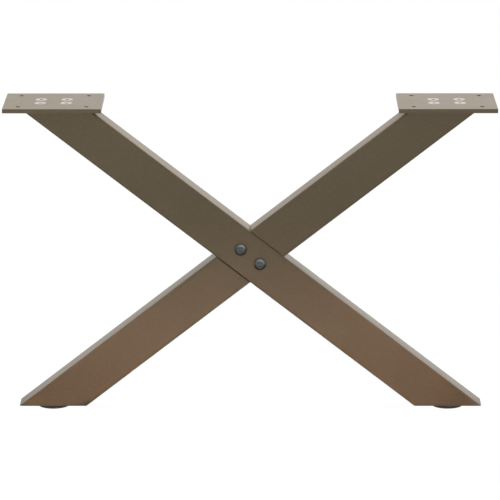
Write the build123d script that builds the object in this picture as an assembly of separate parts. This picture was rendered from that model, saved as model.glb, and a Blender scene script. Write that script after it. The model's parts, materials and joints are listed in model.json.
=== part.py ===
from build123d import *
import os
from math import atan2, cos, degrees, sin, tan

# X shaped table leg of two half-lapped rectangular steel tubes, in millimetres.
# +Z is up and +X runs across the X. The front tube falls from upper left to lower right,
# and the front of the leg looks along -Y. The origin is on the floor, under the crossing.
# Turned half a turn about Z, the front tube and what is welded into it become the rear tube.

# Frame tube, 60 x 40 x 2 with rounded corners
tube_height = 60.0
tube_depth = 40.0
tube_wall = 2.0
tube_corner_radius = 2.5
tube_rise = 440.5  # from the cut at the tube's lower end to the cut at its upper end
tube_run = 566.0  # across, from the middle of one cut end to the middle of the other
foot_spread = 6.0  # each lower end stands this much further out than the upper ends

# Half lap at the crossing, closed by a folded saddle in each tube
lap_gap = 0.4
saddle_thickness = 3.0
weld_gap = 0.15  # round every plate that is set into the tube

# Plates welded into the ends of the tubes
head_plate_thickness = 6.0
sole_plate_thickness = 5.0

# Loose plate under the table top
top_plate_width = 140.0
top_plate_depth = 115.0
top_plate_thickness = 6.0
top_plate_corner_radius = 2.0
top_plate_edge_radius = 0.6
wood_screw_hole_diameter = 6.5
wood_screw_spacing_x = 97.0
wood_screw_spacing_y = 80.0

# M8 countersunk socket screws that hold the top plate down
plate_screw_diameter = 8.0
plate_screw_head_diameter = 17.0
plate_screw_head_land = 0.6  # short cylinder above the cone
plate_screw_length = 16.0
plate_screw_tip_chamfer = 0.8
plate_screw_socket = 5.0  # across the flats of the hexagon
plate_screw_socket_depth = 3.2
plate_screw_spacing_x = 37.0
plate_screw_edge_land = 1.0  # steel left between a tapped hole and the edge of the head plate
screw_clearance = 0.5  # added to the radius of a plain hole round a screw
thread_clearance = 0.1  # added to the radius of a tapped hole
countersink_gap = 0.05

# M10 button head socket bolts through the crossing
bolt_diameter = 10.0
bolt_head_diameter = 17.5
bolt_head_height = 5.5
bolt_head_rim = 0.8
bolt_head_flat = 9.0  # diameter of the flat top, round the socket
bolt_dome_lean = 0.25  # inwards per millimetre of height, where the dome leaves the rim
bolt_stand_out = 4.0  # past the crossing nut
bolt_tip_chamfer = 1.0
bolt_socket = 6.0
bolt_socket_depth = 3.6
bolt_spacing = 35.0  # along the front tube
bolt_nut_flats = 17.0
bolt_nut_height = 8.0
sleeve_outer_diameter = 16.0

# Levelling feet: a moulded pad on an M8 stud, screwed right in
pad_diameter = 46.0
pad_thickness = 3.2
pad_top_radius = 1.0
pad_bottom_chamfer = 0.5
pad_running_gap = 0.3
stud_diameter = 8.0
stud_length = 25.0
stud_tip_chamfer = 0.8
stud_flange_diameter = 22.0
stud_flange_thickness = 1.6
stud_flange_gap = 0.1
foot_nut_flats = 13.0
foot_nut_height = 6.5

# Crown of every weld nut, as shares of the distance across its flats
nut_crown_share = 1.12
nut_crown_chamfer_share = 0.05

# Places worked out from the sizes above
tube_bottom_z = pad_thickness + pad_running_gap
tube_top_z = tube_bottom_z + tube_rise
slope = atan2(tube_rise, tube_run)
upper_end_x = (tube_run - foot_spread) / 2
lower_end_x = (tube_run + foot_spread) / 2
crossing_z = tube_bottom_z + lower_end_x * tan(slope)
reach = tube_run + tube_rise  # longer than any tube
inner_height = tube_height - 2 * tube_wall
inner_depth = tube_depth - 2 * tube_wall
inner_corner_radius = tube_corner_radius - tube_wall
front_face = tube_depth / 2  # distance of the tube's front and rear faces from the lap
bolt_hole_radius = bolt_diameter / 2 + screw_clearance
bolt_length = front_face + saddle_thickness + bolt_nut_height + bolt_stand_out
stud_hole_radius = stud_diameter / 2 + screw_clearance
plate_screw_spacing_y = (
    inner_depth - 2 * weld_gap - plate_screw_diameter - 2 * thread_clearance - 2 * plate_screw_edge_land
)

# Each line's x runs along its tube, y across it, and z towards the front of the leg
front_line = Plane(origin=(0, 0, crossing_z), x_dir=(cos(slope), 0, -sin(slope)), z_dir=(0, -1, 0))
rear_line = Plane(origin=(0, 0, crossing_z), x_dir=(cos(slope), 0, sin(slope)), z_dir=(0, -1, 0))
half_turn = Rot(0, 0, 180)


def bar(height, depth, corner_radius):
    """A rounded bar of the given section, along the front tube's line and past both its ends."""
    across = Plane(origin=front_line.origin, x_dir=front_line.y_dir, z_dir=front_line.x_dir)
    return extrude(across * RectangleRounded(height, depth, corner_radius), amount=reach, both=True)


def between_levels(low, high):
    """Everything between two heights above the floor."""
    return Pos(0, 0, (low + high) / 2) * Box(2 * reach, 2 * tube_depth, high - low)


def lap_block(half_width, front):
    """A block along the rear tube's line, from the given distance in front of the lap to behind the leg."""
    depth = front + tube_depth
    return rear_line.location * Pos(0, 0, front - depth / 2) * Box(reach, 2 * half_width, depth)


def at_bolts(shape, height):
    """The shape at both crossing bolts, its own origin the given distance in front of the lap."""
    return [front_line.location * Pos(step * bolt_spacing / 2, 0, height) * shape for step in (-1, 1)]


def hexagon(flats):
    """A hexagon with the given distance across its flats."""
    return RegularPolygon(radius=flats / 2, side_count=6, major_radius=False)


def hex_nut(flats, height, bore_radius):
    """A weld nut that stands on its origin, with a plain bore where the thread is."""
    blank = extrude(hexagon(flats), amount=height)
    crown_radius = flats / 2 * nut_crown_share
    crown = Cylinder(crown_radius, height, align=(Align.CENTER, Align.CENTER, Align.MIN))
    crown = chamfer(crown.edges().group_by(Axis.Z)[-1], length=flats * nut_crown_chamfer_share)
    return (blank & crown) - Pos(0, 0, height / 2) * Cylinder(bore_radius, 2 * height)


# Tubes: cut level at both ends, with half the depth cut away where the other tube passes.
# Only the front tube has bolt holes, through its front wall.
lap_half_width = tube_height / 2 + lap_gap
notched_tube = bar(tube_height, tube_depth, tube_corner_radius)
notched_tube -= bar(inner_height, inner_depth, inner_corner_radius)
notched_tube &= between_levels(tube_bottom_z, tube_top_z)
notched_tube -= lap_block(lap_half_width, 0)
front_tube = notched_tube
rear_tube = half_turn * notched_tube
bolt_hole = Cylinder(bolt_hole_radius, 2 * tube_wall)
for hole in at_bolts(bolt_hole, front_face - tube_wall / 2):
    front_tube -= hole

# Saddles: a folded channel welded into each tube, which closes its lap on three sides
set_in = bar(inner_height - 2 * weld_gap, inner_depth - 2 * weld_gap, inner_corner_radius)
saddle = lap_block(lap_half_width + saddle_thickness, saddle_thickness) - lap_block(lap_half_width, 0)
saddle &= set_in
front_saddle = saddle
rear_saddle = half_turn * saddle
for hole in at_bolts(Cylinder(bolt_hole_radius, 4 * saddle_thickness), 0):
    front_saddle -= hole
    rear_saddle -= hole

# Head plates: welded flush into the upper ends, with four tapped holes
head_plate = set_in & between_levels(tube_top_z - head_plate_thickness, tube_top_z)
screw_grid = GridLocations(plate_screw_spacing_x, plate_screw_spacing_y, 2, 2)
for place in screw_grid:
    tapped_hole = Cylinder(plate_screw_diameter / 2 + thread_clearance, 4 * head_plate_thickness)
    head_plate -= Pos(-upper_end_x, 0, tube_top_z) * place * tapped_hole

# Sole plates: welded flush into the lower ends, with a plain hole for the foot's stud
sole_plate = set_in & between_levels(tube_bottom_z, tube_bottom_z + sole_plate_thickness)
sole_plate -= Pos(lower_end_x, 0, tube_bottom_z) * Cylinder(stud_hole_radius, 4 * sole_plate_thickness)

# Top plates: flat bar with four wood screw holes at the corners and four countersunk holes
countersink_radius = plate_screw_head_diameter / 2 + countersink_gap
plain_radius = plate_screw_diameter / 2 + screw_clearance
countersink_depth = countersink_radius - plain_radius
top_plate = extrude(
    RectangleRounded(top_plate_width, top_plate_depth, top_plate_corner_radius),
    amount=top_plate_thickness,
)
top_plate = fillet(top_plate.edges().group_by(Axis.Z)[-1], radius=top_plate_edge_radius)
for place in GridLocations(wood_screw_spacing_x, wood_screw_spacing_y, 2, 2):
    top_plate -= place * Cylinder(wood_screw_hole_diameter / 2, 4 * top_plate_thickness)
for place in screw_grid:
    top_plate -= place * Cylinder(plain_radius, 4 * top_plate_thickness)
    mouth = Cone(plain_radius, countersink_radius, countersink_depth)
    land = Cylinder(countersink_radius, plate_screw_head_land)
    top_plate -= place * Pos(0, 0, top_plate_thickness - plate_screw_head_land - countersink_depth / 2) * mouth
    top_plate -= place * Pos(0, 0, top_plate_thickness - plate_screw_head_land / 2) * land
top_plate = Pos(0, 0, tube_top_z) * top_plate

# Plate screw: 90 degree head flush with the plate, hexagon socket, plain shank for the thread
head_radius = plate_screw_head_diameter / 2
shank_radius = plate_screw_diameter / 2
cone_depth = head_radius - shank_radius
screw_outline = Polyline(
    (0, 0),
    (head_radius, 0),
    (head_radius, -plate_screw_head_land),
    (shank_radius, -plate_screw_head_land - cone_depth),
    (shank_radius, -plate_screw_length + plate_screw_tip_chamfer),
    (shank_radius - plate_screw_tip_chamfer, -plate_screw_length),
    (0, -plate_screw_length),
    close=True,
)
plate_screw = revolve(Plane.XZ * make_face(screw_outline), axis=Axis.Z)
plate_screw -= extrude(hexagon(plate_screw_socket), amount=-plate_screw_socket_depth)

# Crossing bolt: domed head with a short straight rim, in front of its origin
rim = bolt_head_diameter / 2
dome_top = bolt_head_flat / 2
thread = bolt_diameter / 2
tip = thread - bolt_tip_chamfer
bolt_edge = [
    Line((0, -bolt_length), (tip, -bolt_length)),
    Line((tip, -bolt_length), (thread, -bolt_length + bolt_tip_chamfer)),
    Line((thread, -bolt_length + bolt_tip_chamfer), (thread, 0)),
    Line((thread, 0), (rim, 0)),
    Line((rim, 0), (rim, bolt_head_rim)),
    TangentArc((rim, bolt_head_rim), (dome_top, bolt_head_height), tangent=(-bolt_dome_lean, 1)),
    Line((dome_top, bolt_head_height), (0, bolt_head_height)),
    Line((0, bolt_head_height), (0, -bolt_length)),
]
crossing_bolt = revolve(Plane.XZ * make_face(bolt_edge), axis=Axis.Z)
crossing_bolt -= Pos(0, 0, bolt_head_height) * extrude(hexagon(bolt_socket), amount=-bolt_socket_depth)

# Spacer sleeve between the front wall and the saddle, so that the bolts can't crush the tube
sleeve_length = front_face - tube_wall - saddle_thickness
sleeve = Cylinder(sleeve_outer_diameter / 2, sleeve_length) - Cylinder(bolt_hole_radius, 2 * sleeve_length)

# Weld nuts behind the rear saddle, a flat of each towards the rear tube's side walls
crossing_nut = hex_nut(bolt_nut_flats, bolt_nut_height, bolt_diameter / 2 + thread_clearance)
turn_to_rear_line = degrees(2 * slope)
crossing_nut = Rot(0, 180, 0) * Rot(0, 0, -turn_to_rear_line) * crossing_nut

# Foot pad: a low moulded disc with a recess for the stud's flange, on the floor
pad = Cylinder(pad_diameter / 2, pad_thickness, align=(Align.CENTER, Align.CENTER, Align.MIN))
pad = fillet(pad.edges().group_by(Axis.Z)[-1], radius=pad_top_radius)
pad = chamfer(pad.edges().group_by(Axis.Z)[0], length=pad_bottom_chamfer)
recess_radius = stud_flange_diameter / 2 + stud_flange_gap
recess_depth = stud_flange_thickness + stud_flange_gap
pad -= Pos(0, 0, pad_thickness - recess_depth / 2) * Cylinder(recess_radius, recess_depth)

# Foot stud: a threaded rod on a round flange that lies in the pad's recess
flange = Cylinder(
    stud_flange_diameter / 2,
    stud_flange_thickness,
    align=(Align.CENTER, Align.CENTER, Align.MAX),
)
rod = Cylinder(stud_diameter / 2, stud_length, align=(Align.CENTER, Align.CENTER, Align.MIN))
rod = chamfer(rod.edges().group_by(Axis.Z)[-1], length=stud_tip_chamfer)
stud = Pos(0, 0, pad_thickness) * (flange + rod)

# Weld nut on the sole plate, which carries the stud's thread
foot_nut = hex_nut(foot_nut_flats, foot_nut_height, stud_diameter / 2 + thread_clearance)
foot_nut = Pos(0, 0, tube_bottom_z + sole_plate_thickness) * foot_nut

nodes = {
    "front_tube": front_tube,
    "rear_tube": rear_tube,
    "front_saddle": front_saddle,
    "rear_saddle": rear_saddle,
    "left_head_plate": head_plate,
    "right_head_plate": half_turn * head_plate,
    "right_sole_plate": sole_plate,
    "left_sole_plate": half_turn * sole_plate,
}
for side, sign in (("left", -1), ("right", 1)):
    plate_place = Pos(sign * upper_end_x, 0, 0)
    nodes[side + "_top_plate"] = plate_place * top_plate
    for number, place in enumerate(screw_grid, start=1):
        seat = plate_place * Pos(0, 0, tube_top_z + top_plate_thickness) * place
        nodes[f"{side}_plate_screw_{number}"] = seat * plate_screw
    foot_place = Pos(sign * lower_end_x, 0, 0)
    nodes[side + "_foot_pad"] = foot_place * pad
    nodes[side + "_foot_stud"] = foot_place * stud
    nodes[side + "_foot_nut"] = foot_place * foot_nut
sleeve_middle = saddle_thickness + sleeve_length / 2
crossing_pieces = (
    ("crossing_bolt", crossing_bolt, front_face),
    ("spacer_sleeve", sleeve, sleeve_middle),
    ("crossing_nut", crossing_nut, -saddle_thickness),
)
for name, shape, height in crossing_pieces:
    for level, placed in zip(("upper", "lower"), at_bolts(shape, height)):
        nodes[f"{level}_{name}"] = placed

os.makedirs("parts", exist_ok=True)
for name, shape in nodes.items():
    export_step(shape, f"parts/{name}.step")
print(len(nodes), "nodes")
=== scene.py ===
import bpy
import json
import math
from mathutils import Euler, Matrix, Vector

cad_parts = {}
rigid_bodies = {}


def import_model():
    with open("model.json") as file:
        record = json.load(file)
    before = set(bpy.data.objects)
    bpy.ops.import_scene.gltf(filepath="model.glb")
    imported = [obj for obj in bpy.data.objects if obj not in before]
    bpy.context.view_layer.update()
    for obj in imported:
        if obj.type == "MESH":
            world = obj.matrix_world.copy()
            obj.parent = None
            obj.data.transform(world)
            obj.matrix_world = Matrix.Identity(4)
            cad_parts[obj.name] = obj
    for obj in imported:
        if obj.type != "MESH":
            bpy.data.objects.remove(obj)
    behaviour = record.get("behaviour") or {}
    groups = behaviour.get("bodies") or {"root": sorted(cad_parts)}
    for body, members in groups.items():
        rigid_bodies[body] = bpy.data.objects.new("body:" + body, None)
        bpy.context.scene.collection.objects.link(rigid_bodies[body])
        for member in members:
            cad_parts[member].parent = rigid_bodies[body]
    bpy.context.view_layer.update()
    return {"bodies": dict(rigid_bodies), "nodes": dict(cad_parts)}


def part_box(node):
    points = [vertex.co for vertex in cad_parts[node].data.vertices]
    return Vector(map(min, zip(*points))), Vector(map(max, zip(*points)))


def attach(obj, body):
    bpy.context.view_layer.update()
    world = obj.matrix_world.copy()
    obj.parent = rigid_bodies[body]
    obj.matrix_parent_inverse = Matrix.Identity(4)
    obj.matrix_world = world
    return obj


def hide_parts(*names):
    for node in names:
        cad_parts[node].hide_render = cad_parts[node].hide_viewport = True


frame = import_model()


# The two frame tubes with their welded plates
# Mild steel rectangular tube and flat bar, half-lapped at the crossing, welded, then coated
# as one frame. The shapes are the CAD solids, so this section gives them their coat and rounded edges.

mm = 0.001
nodes = frame["nodes"]


def colour(code):
    """The linear colour of an sRGB hex code."""
    parts = [int(code[i:i + 2], 16) / 255 for i in (1, 3, 5)]
    return tuple(p / 12.92 if p <= 0.04045 else ((p + 0.055) / 1.055) ** 2.4 for p in parts) + (1.0,)


def add(tree, kind, inputs=None, **settings):
    """One node with its settings. An input is a value, or an output socket that it is linked from."""
    made = tree.nodes.new(kind)
    for name, value in settings.items():
        setattr(made, name, value)
    for key, value in (inputs or {}).items():
        if isinstance(value, bpy.types.NodeSocket):
            tree.links.new(value, made.inputs[key])
        else:
            made.inputs[key].default_value = value
    return made


def new_material(name):
    """An empty node material with its shader joined up, and the point on the piece that patterns read."""
    material = bpy.data.materials.new(name)
    material.use_nodes = True
    tree = material.node_tree
    tree.nodes.clear()
    shader = add(tree, "ShaderNodeBsdfPrincipled")
    add(tree, "ShaderNodeOutputMaterial", {"Surface": shader.outputs["BSDF"]})
    place = add(tree, "ShaderNodeTexCoord").outputs["Object"]
    return material, tree, shader, place


def blend_colours(tree, factor, first, second):
    """Two colours mixed by a factor from 0 to 1."""
    mix = add(tree, "ShaderNodeMix", {0: factor}, data_type="RGBA")
    for socket, value in ((mix.inputs[6], first), (mix.inputs[7], second)):
        if isinstance(value, bpy.types.NodeSocket):
            tree.links.new(value, socket)
        else:
            socket.default_value = value
    return mix.outputs[2]


# Polyester powder coat with a fine metallic flake, sprayed dry and baked: a semi-gloss
# brown skin of about 80 microns with a low orange peel and small light flakes in it
coat, tree, shader, place = new_material("mocha_metallic_powder_coat")
drift = add(tree, "ShaderNodeTexNoise", {"Vector": place, "Scale": 1 / (60 * mm), "Detail": 2.0})
drift_range = add(tree, "ShaderNodeMapRange", {
    "Value": drift.outputs["Fac"], "From Min": 0.2, "From Max": 0.8})
coat_body = blend_colours(tree, drift_range.outputs["Result"], colour("#86775F"), colour("#8C7D66"))
# real flakes are about 0.05 mm, drawn at 1 mm so that they show at all
flake = add(tree, "ShaderNodeTexVoronoi", {"Vector": place, "Scale": 1 / (1.0 * mm)})
flake_tone = add(tree, "ShaderNodeSeparateColor", {"Color": flake.outputs["Color"]})
flake_share = add(tree, "ShaderNodeMapRange", {
    "Value": flake_tone.outputs["Red"], "From Min": 0.55, "From Max": 1.0, "To Min": 0.0, "To Max": 0.4})
coat_colour = blend_colours(tree, flake_share.outputs["Result"], coat_body, colour("#A3937A"))
gloss_drift = add(tree, "ShaderNodeMapRange", {
    "Value": drift.outputs["Fac"], "From Min": 0.3, "From Max": 0.7, "To Min": 0.29, "To Max": 0.35})
# orange peel has waves of 1 to 2 mm, drawn at 3 mm
peel = add(tree, "ShaderNodeTexNoise", {"Vector": place, "Scale": 1 / (3.0 * mm), "Detail": 1.0})
peel_bump = add(tree, "ShaderNodeBump", {
    "Height": peel.outputs["Fac"], "Strength": 0.12, "Distance": 0.3 * mm})
shader.inputs["Metallic"].default_value = 0.35
shader.inputs["IOR"].default_value = 1.5
tree.links.new(coat_colour, shader.inputs["Base Color"])
tree.links.new(gloss_drift.outputs["Result"], shader.inputs["Roughness"])
tree.links.new(peel_bump.outputs["Normal"], shader.inputs["Normal"])

coated = ["front_tube", "rear_tube", "front_saddle", "rear_saddle"]
for side in ("left", "right"):
    coated += [side + "_head_plate", side + "_sole_plate", side + "_top_plate"]
for name in coated:
    nodes[name].data.materials.clear()
    nodes[name].data.materials.append(coat)
# the coat rounds every cut edge by about half a millimetre, drawn at 1.1
for name in ("front_tube", "rear_tube", "left_top_plate", "right_top_plate"):
    join = nodes[name].modifiers.new("join", "WELD")
    join.merge_threshold = 0.002 * mm
    rounding = nodes[name].modifiers.new("rounding", "BEVEL")
    rounding.width = 1.1 * mm
    rounding.segments = 3
    rounding.limit_method = "ANGLE"
    rounding.angle_limit = math.radians(50)
    rounding.harden_normals = True


# The eight plate screws
# M8 countersunk socket screws of zinc plated steel, headed and rolled, which hold each top
# plate down on the four tapped holes of its head plate. Their heads are flush with the plate.

def new_geometry_tree(name, inputs):
    """A geometry tree with its named inputs, and a lookup from each input's name to its socket."""
    made = bpy.data.node_groups.new(name, "GeometryNodeTree")
    made.interface.new_socket(name="Geometry", in_out="INPUT", socket_type="NodeSocketGeometry")
    for label, kind in inputs:
        made.interface.new_socket(name=label, in_out="INPUT", socket_type="NodeSocket" + kind)
    made.interface.new_socket(name="Geometry", in_out="OUTPUT", socket_type="NodeSocketGeometry")
    return made, add(made, "NodeGroupInput").outputs


# One turned, socketed and threaded piece at each of the modifier's points. The outline is a chain of
# points (radius, 0, height) from the middle of the head to the middle of the tip. Its attribute
# in_socket bends a point's circle to a hexagon, and on_thread cuts the screw thread into it.
turned, given = new_geometry_tree("turned_piece", (
    ("Outline", "Object"), ("Sides", "Int"), ("Pitch", "Float"), ("Thread Depth", "Float"),
    ("Facing", "Vector"), ("Seed", "Int"), ("Finish", "Material")))
chain = add(turned, "GeometryNodeObjectInfo", {"Object": given["Outline"]}).outputs["Geometry"]
chain_count = add(turned, "GeometryNodeAttributeDomainSize", {"Geometry": chain}).outputs["Point Count"]
around = add(turned, "ShaderNodeMath", {0: given["Sides"], 1: 1.0}, operation="ADD").outputs[0]
sheet = add(turned, "GeometryNodeMeshGrid", {
    "Size X": 1.0, "Size Y": 1.0, "Vertices X": around, "Vertices Y": chain_count})
spot = add(turned, "ShaderNodeSeparateXYZ", {0: add(turned, "GeometryNodeInputPosition").outputs[0]})
angle = add(turned, "ShaderNodeMath", {
    0: spot.outputs["X"], 1: 2 * math.pi}, operation="MULTIPLY").outputs[0]
last = add(turned, "ShaderNodeMath", {0: chain_count, 1: 1.0}, operation="SUBTRACT").outputs[0]
along = add(turned, "ShaderNodeMath", {0: spot.outputs["Y"], 1: 0.5}, operation="ADD").outputs[0]
step = add(turned, "ShaderNodeMath", {0: along, 1: last}, operation="MULTIPLY").outputs[0]
step = add(turned, "ShaderNodeMath", {0: step}, operation="ROUND").outputs[0]


def from_chain(attribute, kind):
    """The outline's value at this row of the sheet."""
    if attribute == "position":
        source = add(turned, "GeometryNodeInputPosition").outputs[0]
    else:
        source = add(turned, "GeometryNodeInputNamedAttribute", {
            "Name": attribute}, data_type="FLOAT").outputs[0]
    return add(turned, "GeometryNodeSampleIndex", {
        "Geometry": chain, "Value": source, "Index": step}, data_type=kind, domain="POINT").outputs[0]


outline_spot = add(turned, "ShaderNodeSeparateXYZ", {0: from_chain("position", "FLOAT_VECTOR")})
outline_radius, outline_height = outline_spot.outputs["X"], outline_spot.outputs["Z"]
# hexagon: the distance to its side is the flat's distance over the cosine of the turn from that flat
turn_in_side = add(turned, "ShaderNodeMath", {
    0: angle, 1: math.pi / 6, 2: -math.pi / 6}, operation="WRAP").outputs[0]
side_cosine = add(turned, "ShaderNodeMath", {0: turn_in_side}, operation="COSINE").outputs[0]
hexagon_share = add(turned, "ShaderNodeMath", {0: 1.0, 1: side_cosine}, operation="DIVIDE").outputs[0]
stretch = add(turned, "ShaderNodeMix", {
    0: from_chain("in_socket", "FLOAT"), 2: 1.0, 3: hexagon_share}, data_type="FLOAT").outputs[0]
wide = add(turned, "ShaderNodeMath", {0: outline_radius, 1: stretch}, operation="MULTIPLY").outputs[0]
# thread: a groove once in each pitch, that moves on by one pitch in each turn
turns_up = add(turned, "ShaderNodeMath", {
    0: outline_height, 1: given["Pitch"]}, operation="DIVIDE").outputs[0]
turn = add(turned, "ShaderNodeMath", {0: angle, 1: 2 * math.pi}, operation="DIVIDE").outputs[0]
phase = add(turned, "ShaderNodeMath", {0: turns_up, 1: turn}, operation="SUBTRACT").outputs[0]
groove = add(turned, "ShaderNodeMath", {0: phase, 1: 0.5}, operation="PINGPONG").outputs[0]
groove = add(turned, "ShaderNodeMapRange", {
    "Value": groove, "From Min": 0.06, "From Max": 0.44, "To Min": 0.0, "To Max": 1.0}).outputs[0]
groove = add(turned, "ShaderNodeMath", {
    0: groove, 1: from_chain("on_thread", "FLOAT")}, operation="MULTIPLY").outputs[0]
cut = add(turned, "ShaderNodeMath", {0: groove, 1: given["Thread Depth"]}, operation="MULTIPLY").outputs[0]
radius = add(turned, "ShaderNodeMath", {0: wide, 1: cut}, operation="SUBTRACT").outputs[0]
sine = add(turned, "ShaderNodeMath", {0: angle}, operation="SINE").outputs[0]
cosine = add(turned, "ShaderNodeMath", {0: angle}, operation="COSINE").outputs[0]
new_spot = add(turned, "ShaderNodeCombineXYZ", {
    0: add(turned, "ShaderNodeMath", {0: radius, 1: cosine}, operation="MULTIPLY").outputs[0],
    1: add(turned, "ShaderNodeMath", {0: radius, 1: sine}, operation="MULTIPLY").outputs[0],
    2: outline_height}).outputs[0]
shell = add(turned, "GeometryNodeSetPosition", {
    "Geometry": sheet.outputs["Mesh"], "Position": new_spot}).outputs[0]
shell = add(turned, "GeometryNodeMergeByDistance", {"Geometry": shell, "Distance": 0.002 * mm}).outputs[0]
# the wrapped sheet faces its own axis, so its faces are turned to point outwards
shell = add(turned, "GeometryNodeFlipFaces", {"Mesh": shell}).outputs[0]
placed = add(turned, "GeometryNodeInstanceOnPoints", {
    "Points": given["Geometry"], "Instance": shell, "Rotation": given["Facing"]}).outputs[0]
own_turn = add(turned, "FunctionNodeRandomValue", {
    2: 0.0, 3: math.pi / 3, "Seed": given["Seed"]}, data_type="FLOAT")
own_turn = add(turned, "ShaderNodeCombineXYZ", {2: own_turn.outputs[1]}).outputs[0]
placed = add(turned, "GeometryNodeRotateInstances", {
    "Instances": placed, "Rotation": own_turn, "Local Space": True}).outputs[0]
placed = add(turned, "GeometryNodeRealizeInstances", {"Geometry": placed}).outputs[0]
placed = add(turned, "GeometryNodeSetShadeSmooth", {"Geometry": placed}).outputs[0]
placed = add(turned, "GeometryNodeSetMaterial", {
    "Geometry": placed, "Material": given["Finish"]}).outputs[0]
add(turned, "NodeGroupOutput", {0: placed})


def outline_object(rows):
    """The outline as an object: rows of radius, height, in_socket and on_thread, sizes in millimetres."""
    mesh = bpy.data.meshes.new("outline")
    points = [(row[0] * mm, 0, row[1] * mm) for row in rows]
    mesh.from_pydata(points, [(i, i + 1) for i in range(len(rows) - 1)], [])
    for column, label in ((2, "in_socket"), (3, "on_thread")):
        values = mesh.attributes.new(label, "FLOAT", "POINT").data
        values.foreach_set("value", [row[column] for row in rows])
    made = bpy.data.objects.new("outline", mesh)
    bpy.context.scene.collection.objects.link(made)
    return made


def threaded(radius, start, end, pitch):
    """Outline rows down a thread, which fades in over its first pitch, with six rows for each pitch."""
    count = round(6 * (start - end) / pitch)
    rows = []
    for i in range(count + 1):
        height = start + (end - start) * i / count
        rows.append((radius, height, 0, min(1.0, (start - height) / pitch)))
    return rows


def turned_pieces(name, places, tree, settings):
    """A plain mesh object made by a geometry tree at the given places. Inputs are set by identifier."""
    mesh = bpy.data.meshes.new(name)
    mesh.from_pydata([tuple(p) for p in places], [], [])
    made = bpy.data.objects.new(name, mesh)
    bpy.context.scene.collection.objects.link(made)
    modifier = made.modifiers.new(tree.name, "NODES")
    modifier.node_group = tree
    for item in tree.interface.items_tree:
        if item.in_out == "INPUT" and item.name in settings:
            modifier[item.identifier] = settings[item.name]
    made.update_tag()
    bpy.context.view_layer.update()
    finished = made.evaluated_get(bpy.context.evaluated_depsgraph_get())
    made_mesh = bpy.data.meshes.new_from_object(finished)
    made.modifiers.clear()
    made.data = made_mesh
    bpy.data.meshes.remove(mesh)
    made_mesh.name = name
    made_mesh.set_sharp_from_angle(angle=math.radians(32))
    return made


# Bright zinc plate, 8 microns on turned steel: a pale satin metal with fine rings from the heading die
bright_zinc, tree, shader, place = new_material("bright_zinc_plate")
cloud = add(tree, "ShaderNodeTexNoise", {"Vector": place, "Scale": 1 / (1.5 * mm), "Detail": 3.0})
zinc_colour = blend_colours(tree, cloud.outputs["Fac"], colour("#D8D1C6"), colour("#E2DCD2"))
zinc_gloss = add(tree, "ShaderNodeMapRange", {
    "Value": cloud.outputs["Fac"], "From Min": 0.3, "From Max": 0.7, "To Min": 0.26, "To Max": 0.40})
shader.inputs["Metallic"].default_value = 1.0
tree.links.new(zinc_colour, shader.inputs["Base Color"])
tree.links.new(zinc_gloss.outputs["Result"], shader.inputs["Roughness"])

hex_corner = 1.155  # from a hexagon's middle to its corner, for 1 to its flat
plate_screw_head = 17.0 / 2
plate_screw_land = 0.6
plate_screw_shank = 8.0 / 2
plate_screw_length = 16.0
plate_screw_socket = 5.0 / 2
plate_screw_socket_depth = 3.2
m8_pitch = 1.25
m8_thread_depth = 0.77
cone_end = -plate_screw_land - (plate_screw_head - plate_screw_shank)
plate_screw_outline = outline_object([
    (0, -plate_screw_socket_depth - 0.9, 0, 0),
    (plate_screw_socket * 0.96, -plate_screw_socket_depth, 0, 0),
    (plate_screw_socket, -plate_screw_socket_depth, 1, 0),
    (plate_screw_socket, -0.35, 1, 0),
    (plate_screw_socket * hex_corner + 0.35, 0, 0, 0),
    (plate_screw_head - 0.25, 0, 0, 0),
    (plate_screw_head, -0.25, 0, 0),
    (plate_screw_head, -plate_screw_land, 0, 0),
    (plate_screw_shank, cone_end, 0, 0),
    *threaded(plate_screw_shank, cone_end - 0.01, -plate_screw_length + 0.8, m8_pitch),
    (plate_screw_shank - 0.8, -plate_screw_length, 0, 0),
    (0, -plate_screw_length, 0, 0),
])

plate_screw_names = [f"{side}_plate_screw_{n}" for side in ("left", "right") for n in (1, 2, 3, 4)]
plate_screw_seats = []
for name in plate_screw_names:
    low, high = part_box(name)
    plate_screw_seats.append(((low.x + high.x) / 2, (low.y + high.y) / 2, high.z))
plate_screws = turned_pieces("plate_screws", plate_screw_seats, turned, {
    "Outline": plate_screw_outline, "Sides": 48, "Pitch": m8_pitch * mm,
    "Thread Depth": m8_thread_depth * mm, "Facing": (0.0, 0.0, 0.0), "Seed": 3, "Finish": bright_zinc})
bpy.data.objects.remove(plate_screw_outline)
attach(plate_screws, "frame")
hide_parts(*plate_screw_names)


# The two crossing bolts
# M10 button head socket bolts of zinc flake coated steel, blue grey. They go through the front
# tube, a sleeve and both saddles into the weld nuts, and pull the half lap together.

blue_zinc, tree, shader, place = new_material("blue_grey_zinc_flake")
cloud = add(tree, "ShaderNodeTexNoise", {"Vector": place, "Scale": 1 / (2.0 * mm), "Detail": 3.0})
zinc_colour = blend_colours(tree, cloud.outputs["Fac"], colour("#83878B"), colour("#9C9FA1"))
zinc_gloss = add(tree, "ShaderNodeMapRange", {
    "Value": cloud.outputs["Fac"], "From Min": 0.3, "From Max": 0.7, "To Min": 0.28, "To Max": 0.40})
shader.inputs["Metallic"].default_value = 1.0
tree.links.new(zinc_colour, shader.inputs["Base Color"])
tree.links.new(zinc_gloss.outputs["Result"], shader.inputs["Roughness"])

bolt_head = 17.5 / 2
bolt_head_height = 5.5
bolt_rim = 0.8
bolt_shank = 10.0 / 2
bolt_socket = 6.0 / 2
bolt_socket_depth = 3.6
m10_pitch = 1.5
m10_thread_depth = 0.92
low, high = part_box("upper_crossing_bolt")
bolt_length = (high.y - low.y) / mm - bolt_head_height
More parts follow.
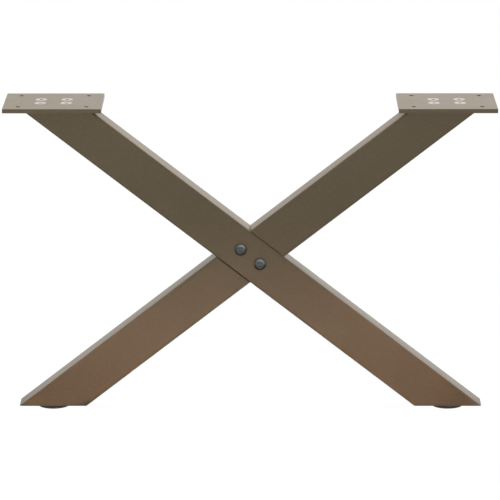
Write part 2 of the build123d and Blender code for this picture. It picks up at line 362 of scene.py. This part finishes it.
# the dome is one arc, and its lean grows from the flat top to the rim
dome_radius = 6.73
dome_steps = 12
top_lean = 19.8
rim_lean = 76.0
dome_rows = []
for i in range(dome_steps + 1):
    lean = math.radians(top_lean + (rim_lean - top_lean) * i / dome_steps)
    dome_rows.append((
        bolt_head + dome_radius * (math.sin(lean) - math.sin(math.radians(rim_lean))),
        bolt_rim + dome_radius * (math.cos(lean) - math.cos(math.radians(rim_lean))), 0, 0))
bolt_outline = outline_object([
    (0, bolt_head_height - bolt_socket_depth - 1.0, 0, 0),
    (bolt_socket * 0.96, bolt_head_height - bolt_socket_depth, 0, 0),
    (bolt_socket, bolt_head_height - bolt_socket_depth, 1, 0),
    (bolt_socket, bolt_head_height - 0.4, 1, 0),
    (bolt_socket * hex_corner + 0.4, bolt_head_height, 0, 0),
    *dome_rows,
    (bolt_head, 0.15, 0, 0),
    (bolt_head - 0.15, 0, 0, 0),
    (bolt_shank, 0, 0, 0),
    *threaded(bolt_shank, -0.01, -bolt_length + 1.0, m10_pitch),
    (bolt_shank - 1.0, -bolt_length, 0, 0),
    (0, -bolt_length, 0, 0),
])
bolt_seats = []
for name in ("upper_crossing_bolt", "lower_crossing_bolt"):
    low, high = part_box(name)
    bolt_seats.append(((low.x + high.x) / 2, low.y + bolt_head_height * mm, (low.z + high.z) / 2))
crossing_bolts = turned_pieces("crossing_bolts", bolt_seats, turned, {
    "Outline": bolt_outline, "Sides": 60, "Pitch": m10_pitch * mm,
    "Thread Depth": m10_thread_depth * mm, "Facing": (math.pi / 2, 0.0, 0.0),
    "Seed": 5, "Finish": blue_zinc})
bpy.data.objects.remove(bolt_outline)
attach(crossing_bolts, "frame")
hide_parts("upper_crossing_bolt", "lower_crossing_bolt")


# The sleeves and the weld nuts inside the tubes
# Cut tube sleeves and hot-forged hexagon weld nuts of bare mild steel, welded in before the coat.
# They are closed in, so they keep the mill's dull grey.

bare_steel, tree, shader, place = new_material("bare_mild_steel")
scale = add(tree, "ShaderNodeTexNoise", {"Vector": place, "Scale": 1 / (2.5 * mm), "Detail": 4.0})
steel_colour = blend_colours(tree, scale.outputs["Fac"], colour("#6E6C69"), colour("#8F8D89"))
steel_gloss = add(tree, "ShaderNodeMapRange", {
    "Value": scale.outputs["Fac"], "From Min": 0.3, "From Max": 0.7, "To Min": 0.42, "To Max": 0.6})
shader.inputs["Metallic"].default_value = 1.0
tree.links.new(steel_colour, shader.inputs["Base Color"])
tree.links.new(steel_gloss.outputs["Result"], shader.inputs["Roughness"])
inner_steel = ["upper_spacer_sleeve", "lower_spacer_sleeve", "upper_crossing_nut", "lower_crossing_nut"]
inner_steel += ["left_foot_nut", "right_foot_nut"]
for name in inner_steel:
    nodes[name].data.materials.clear()
    nodes[name].data.materials.append(bare_steel)


# The levelling feet
# Each is a low disc of injection moulded nylon, grey black with a fine spark-eroded grain, pressed
# onto the round flange of an M8 zinc plated stud that screws into the nut on the sole plate.

nylon, tree, shader, place = new_material("dark_moulded_nylon")
grain = add(tree, "ShaderNodeTexNoise", {"Vector": place, "Scale": 1 / (0.8 * mm), "Detail": 2.0})
nylon_colour = blend_colours(tree, grain.outputs["Fac"], colour("#403E37"), colour("#4C4A42"))
grain_bump = add(tree, "ShaderNodeBump", {
    "Height": grain.outputs["Fac"], "Strength": 0.35, "Distance": 0.08 * mm})
shader.inputs["Roughness"].default_value = 0.62
shader.inputs["IOR"].default_value = 1.53
tree.links.new(nylon_colour, shader.inputs["Base Color"])
tree.links.new(grain_bump.outputs["Normal"], shader.inputs["Normal"])
for side in ("left", "right"):
    nodes[side + "_foot_pad"].data.materials.clear()
    nodes[side + "_foot_pad"].data.materials.append(nylon)

stud_radius = 8.0 / 2
stud_flange = 22.0 / 2
stud_flange_thickness = 1.6
stud_length = 25.0
for side in ("left", "right"):
    low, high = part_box(side + "_foot_stud")
    stud_outline = outline_object([
        (0, stud_length, 0, 0),
        (stud_radius - 0.8, stud_length, 0, 0),
        *threaded(stud_radius, stud_length - 0.8, 0.3, m8_pitch),
        (stud_radius, 0, 0, 0),
        (stud_flange - 0.2, 0, 0, 0),
        (stud_flange, -0.2, 0, 0),
        (stud_flange, -stud_flange_thickness, 0, 0),
        (0, -stud_flange_thickness, 0, 0),
    ])
    foot = Vector(((low.x + high.x) / 2, (low.y + high.y) / 2, low.z + stud_flange_thickness * mm))
    threaded_stud = turned_pieces(side + "_threaded_stud", [foot], turned, {
        "Outline": stud_outline, "Sides": 48, "Pitch": m8_pitch * mm,
        "Thread Depth": m8_thread_depth * mm, "Facing": (0.0, 0.0, 0.0), "Seed": 7, "Finish": bright_zinc})
    bpy.data.objects.remove(stud_outline)
    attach(threaded_stud, side + "_foot")
    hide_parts(side + "_foot_stud")


# The studio
# A plain white floor and surround, with soft light from above and in front and a warm glow near the
# floor. The floor is in two halves, each under one foot, so that a foot that is screwed out stands
# on its half, as on an uneven floor. Reflections see the surround darker in places, and near the leg
# the floor is painted dark for reflections only.

floor_white = bpy.data.materials.new("studio_floor")
floor_white.use_nodes = True
tree = floor_white.node_tree
tree.nodes.clear()
rays = add(tree, "ShaderNodeLightPath").outputs
floor_place = add(tree, "ShaderNodeSeparateXYZ", {0: add(tree, "ShaderNodeTexCoord").outputs["Object"]})
# painted reflection: for reflections only, the floor within about 0.3 m of the leg is drawn dark, a
# painted dark patch that gives each bolt head its dark lower crescent
from_leg = add(tree, "ShaderNodeMath", {0: floor_place.outputs["Y"]}, operation="ABSOLUTE").outputs[0]
painted_dark_reflection_share = add(tree, "ShaderNodeMapRange", {
    "Value": from_leg, "From Min": 0.12, "From Max": 0.36, "To Min": 1.0, "To Max": 0.0,
}, interpolation_type="SMOOTHSTEP").outputs["Result"]
painted_dark_reflection_share = add(tree, "ShaderNodeMath", {
    0: rays["Is Glossy Ray"], 1: painted_dark_reflection_share}, operation="MULTIPLY").outputs[0]
# painted shade: near the leg the paper turns dark grey in reflections only
paper_colour_with_painted_dark = blend_colours(tree, painted_dark_reflection_share, colour("#B4B4B4"), colour("#3C3C3C"))
paper = add(tree, "ShaderNodeBsdfDiffuse", {"Color": paper_colour_with_painted_dark})
glow = add(tree, "ShaderNodeEmission", {"Color": (1.0, 1.0, 1.0, 1.0), "Strength": 1.09})
seen_direct = add(tree, "ShaderNodeMath", {
    0: rays["Is Camera Ray"], 1: rays["Is Transmission Ray"]}, operation="MAXIMUM").outputs[0]
# reflections see the floor as plain paper in a band in front of the leg, whose middle is 0.8 m away,
# and white far from that band
from_band = add(tree, "ShaderNodeMath", {0: floor_place.outputs["Y"], 1: 0.8}, operation="ADD").outputs[0]
from_band = add(tree, "ShaderNodeMath", {0: from_band}, operation="ABSOLUTE").outputs[0]
far_share = add(tree, "ShaderNodeMapRange", {
    "Value": from_band, "From Min": 0.9, "From Max": 2.0, "To Min": 0.05, "To Max": 0.95,
}, interpolation_type="SMOOTHSTEP").outputs["Result"]
gloss_share = add(tree, "ShaderNodeMath", {
    0: rays["Is Glossy Ray"], 1: far_share}, operation="MULTIPLY").outputs[0]
white_share = add(tree, "ShaderNodeMath", {
    0: seen_direct, 1: 0.9, 2: gloss_share}, operation="MULTIPLY_ADD").outputs[0]
top_side = add(tree, "ShaderNodeMixShader", {0: white_share, 1: paper.outputs[0], 2: glow.outputs[0]})
under_side = add(tree, "ShaderNodeBsdfTransparent")
facing_away = add(tree, "ShaderNodeNewGeometry").outputs["Backfacing"]
from_below = add(tree, "ShaderNodeMath", {
    0: facing_away, 1: rays["Is Camera Ray"]}, operation="MULTIPLY").outputs[0]
two_sided = add(tree, "ShaderNodeMixShader", {
    0: from_below, 1: top_side.outputs[0], 2: under_side.outputs[0]})
add(tree, "ShaderNodeOutputMaterial", {"Surface": two_sided.outputs[0]})

floor_gap = 0.05 * mm
floor_reach = 6.0
for side, start, end in (("left", -floor_reach, 0.0), ("right", 0.0, floor_reach)):
    mesh = bpy.data.meshes.new(side + "_floor")
    corners = [(start, -floor_reach), (end, -floor_reach), (end, floor_reach), (start, floor_reach)]
    mesh.from_pydata([(x, y, -floor_gap) for x, y in corners], [], [(0, 1, 2, 3)])
    mesh.materials.append(floor_white)
    half = bpy.data.objects.new(side + "_floor", mesh)
    bpy.context.scene.collection.objects.link(half)
    half.parent = frame["bodies"][side + "_foot"]

world = bpy.data.worlds.new("studio")
world.use_nodes = True
bpy.context.scene.world = world
tree = world.node_tree
tree.nodes.clear()
rays = add(tree, "ShaderNodeLightPath").outputs
seen_direct = add(tree, "ShaderNodeMath", {
    0: rays["Is Camera Ray"], 1: rays["Is Transmission Ray"]}, operation="MAXIMUM").outputs[0]
# reflections see the surround nearly white behind and above the leg, darker towards the front and
# lighter on the right
towards = add(tree, "ShaderNodeSeparateXYZ", {0: add(tree, "ShaderNodeTexCoord").outputs["Generated"]})
behind_or_above = add(tree, "ShaderNodeMath", {
    0: towards.outputs["Z"], 1: 0.9, 2: towards.outputs["Y"]}, operation="MULTIPLY_ADD").outputs[0]
studio_grade = add(tree, "ShaderNodeMapRange", {
    "Value": behind_or_above, "From Min": -0.5, "From Max": 0.5, "To Min": 0.18, "To Max": 0.95,
}, interpolation_type="SMOOTHSTEP").outputs["Result"]
rightward = add(tree, "ShaderNodeMath", {
    0: towards.outputs["X"], 1: 0.4, 2: 1.0}, operation="MULTIPLY_ADD").outputs[0]
studio_grade = add(tree, "ShaderNodeMath", {0: studio_grade, 1: rightward}, operation="MULTIPLY").outputs[0]
unseen = add(tree, "ShaderNodeMix", {0: rays["Is Glossy Ray"], 2: 0.25, 3: studio_grade}).outputs[0]
strength = add(tree, "ShaderNodeMix", {0: seen_direct, 2: unseen, 3: 1.0}).outputs[0]
light = add(tree, "ShaderNodeBackground", {"Color": (1.0, 1.0, 1.0, 1.0), "Strength": strength})
add(tree, "ShaderNodeOutputWorld", {"Surface": light.outputs[0]})


def soft_box(name, place, target, width, depth, watts, tint):
    """A rectangular lamp at a place, aimed at a target, and seen by neither camera nor reflections."""
    lamp = bpy.data.lights.new(name, "AREA")
    lamp.shape = "RECTANGLE"
    lamp.size, lamp.size_y = width, depth
    lamp.energy = watts
    lamp.color = colour(tint)[:3]
    made = bpy.data.objects.new(name, lamp)
    made.location = place
    made.visible_camera = False
    made.visible_glossy = False
    made.rotation_euler = (Vector(target) - Vector(place)).to_track_quat("-Z", "Y").to_euler()
    bpy.context.scene.collection.objects.link(made)
    return made


middle = (0.0, 0.0, 0.25)
soft_box("overhead", (0.0, 0.8, 3.0), middle, 3.0, 2.6, 60.0, "#FFF5F0")
soft_box("front_fill", (-1.2, -4.2, 0.9), middle, 2.4, 2.0, 24.0, "#F4FFF2")
# warm low lamps, in front and behind, whose narrow beams light the lower half
for name, away in (("low_front", -2.6), ("low_back", 2.6)):
    low_lamp = soft_box(name, (0.0, away, 0.06), (0.0, 0.0, 0.05), 1.6, 0.1, 0.5, "#FFD0BE")
    low_lamp.data.spread = math.radians(10.5)

# The camera stands in front and a little above, with a long lens, fitted to the leg's outline
camera_data = bpy.data.cameras.new("camera")
camera_data.sensor_width = 36.0
focal_pixels = 3481.2
picture_width = 500
camera_data.lens = focal_pixels / picture_width * camera_data.sensor_width
camera_data.clip_start, camera_data.clip_end = 0.1, 50.0
camera = bpy.data.objects.new("camera", camera_data)
camera.location = (0.0211, -4.8697, 1.4287)
pitch, yaw, roll = math.radians(13.813), math.radians(-0.253), math.radians(-0.076)
camera.rotation_euler = (
    Euler((math.pi / 2 - pitch, 0.0, -yaw)).to_matrix() @ Euler((0.0, 0.0, roll)).to_matrix()).to_euler()
bpy.context.scene.collection.objects.link(camera)
bpy.context.scene.camera = camera

bpy.context.scene.view_settings.view_transform = "Standard"
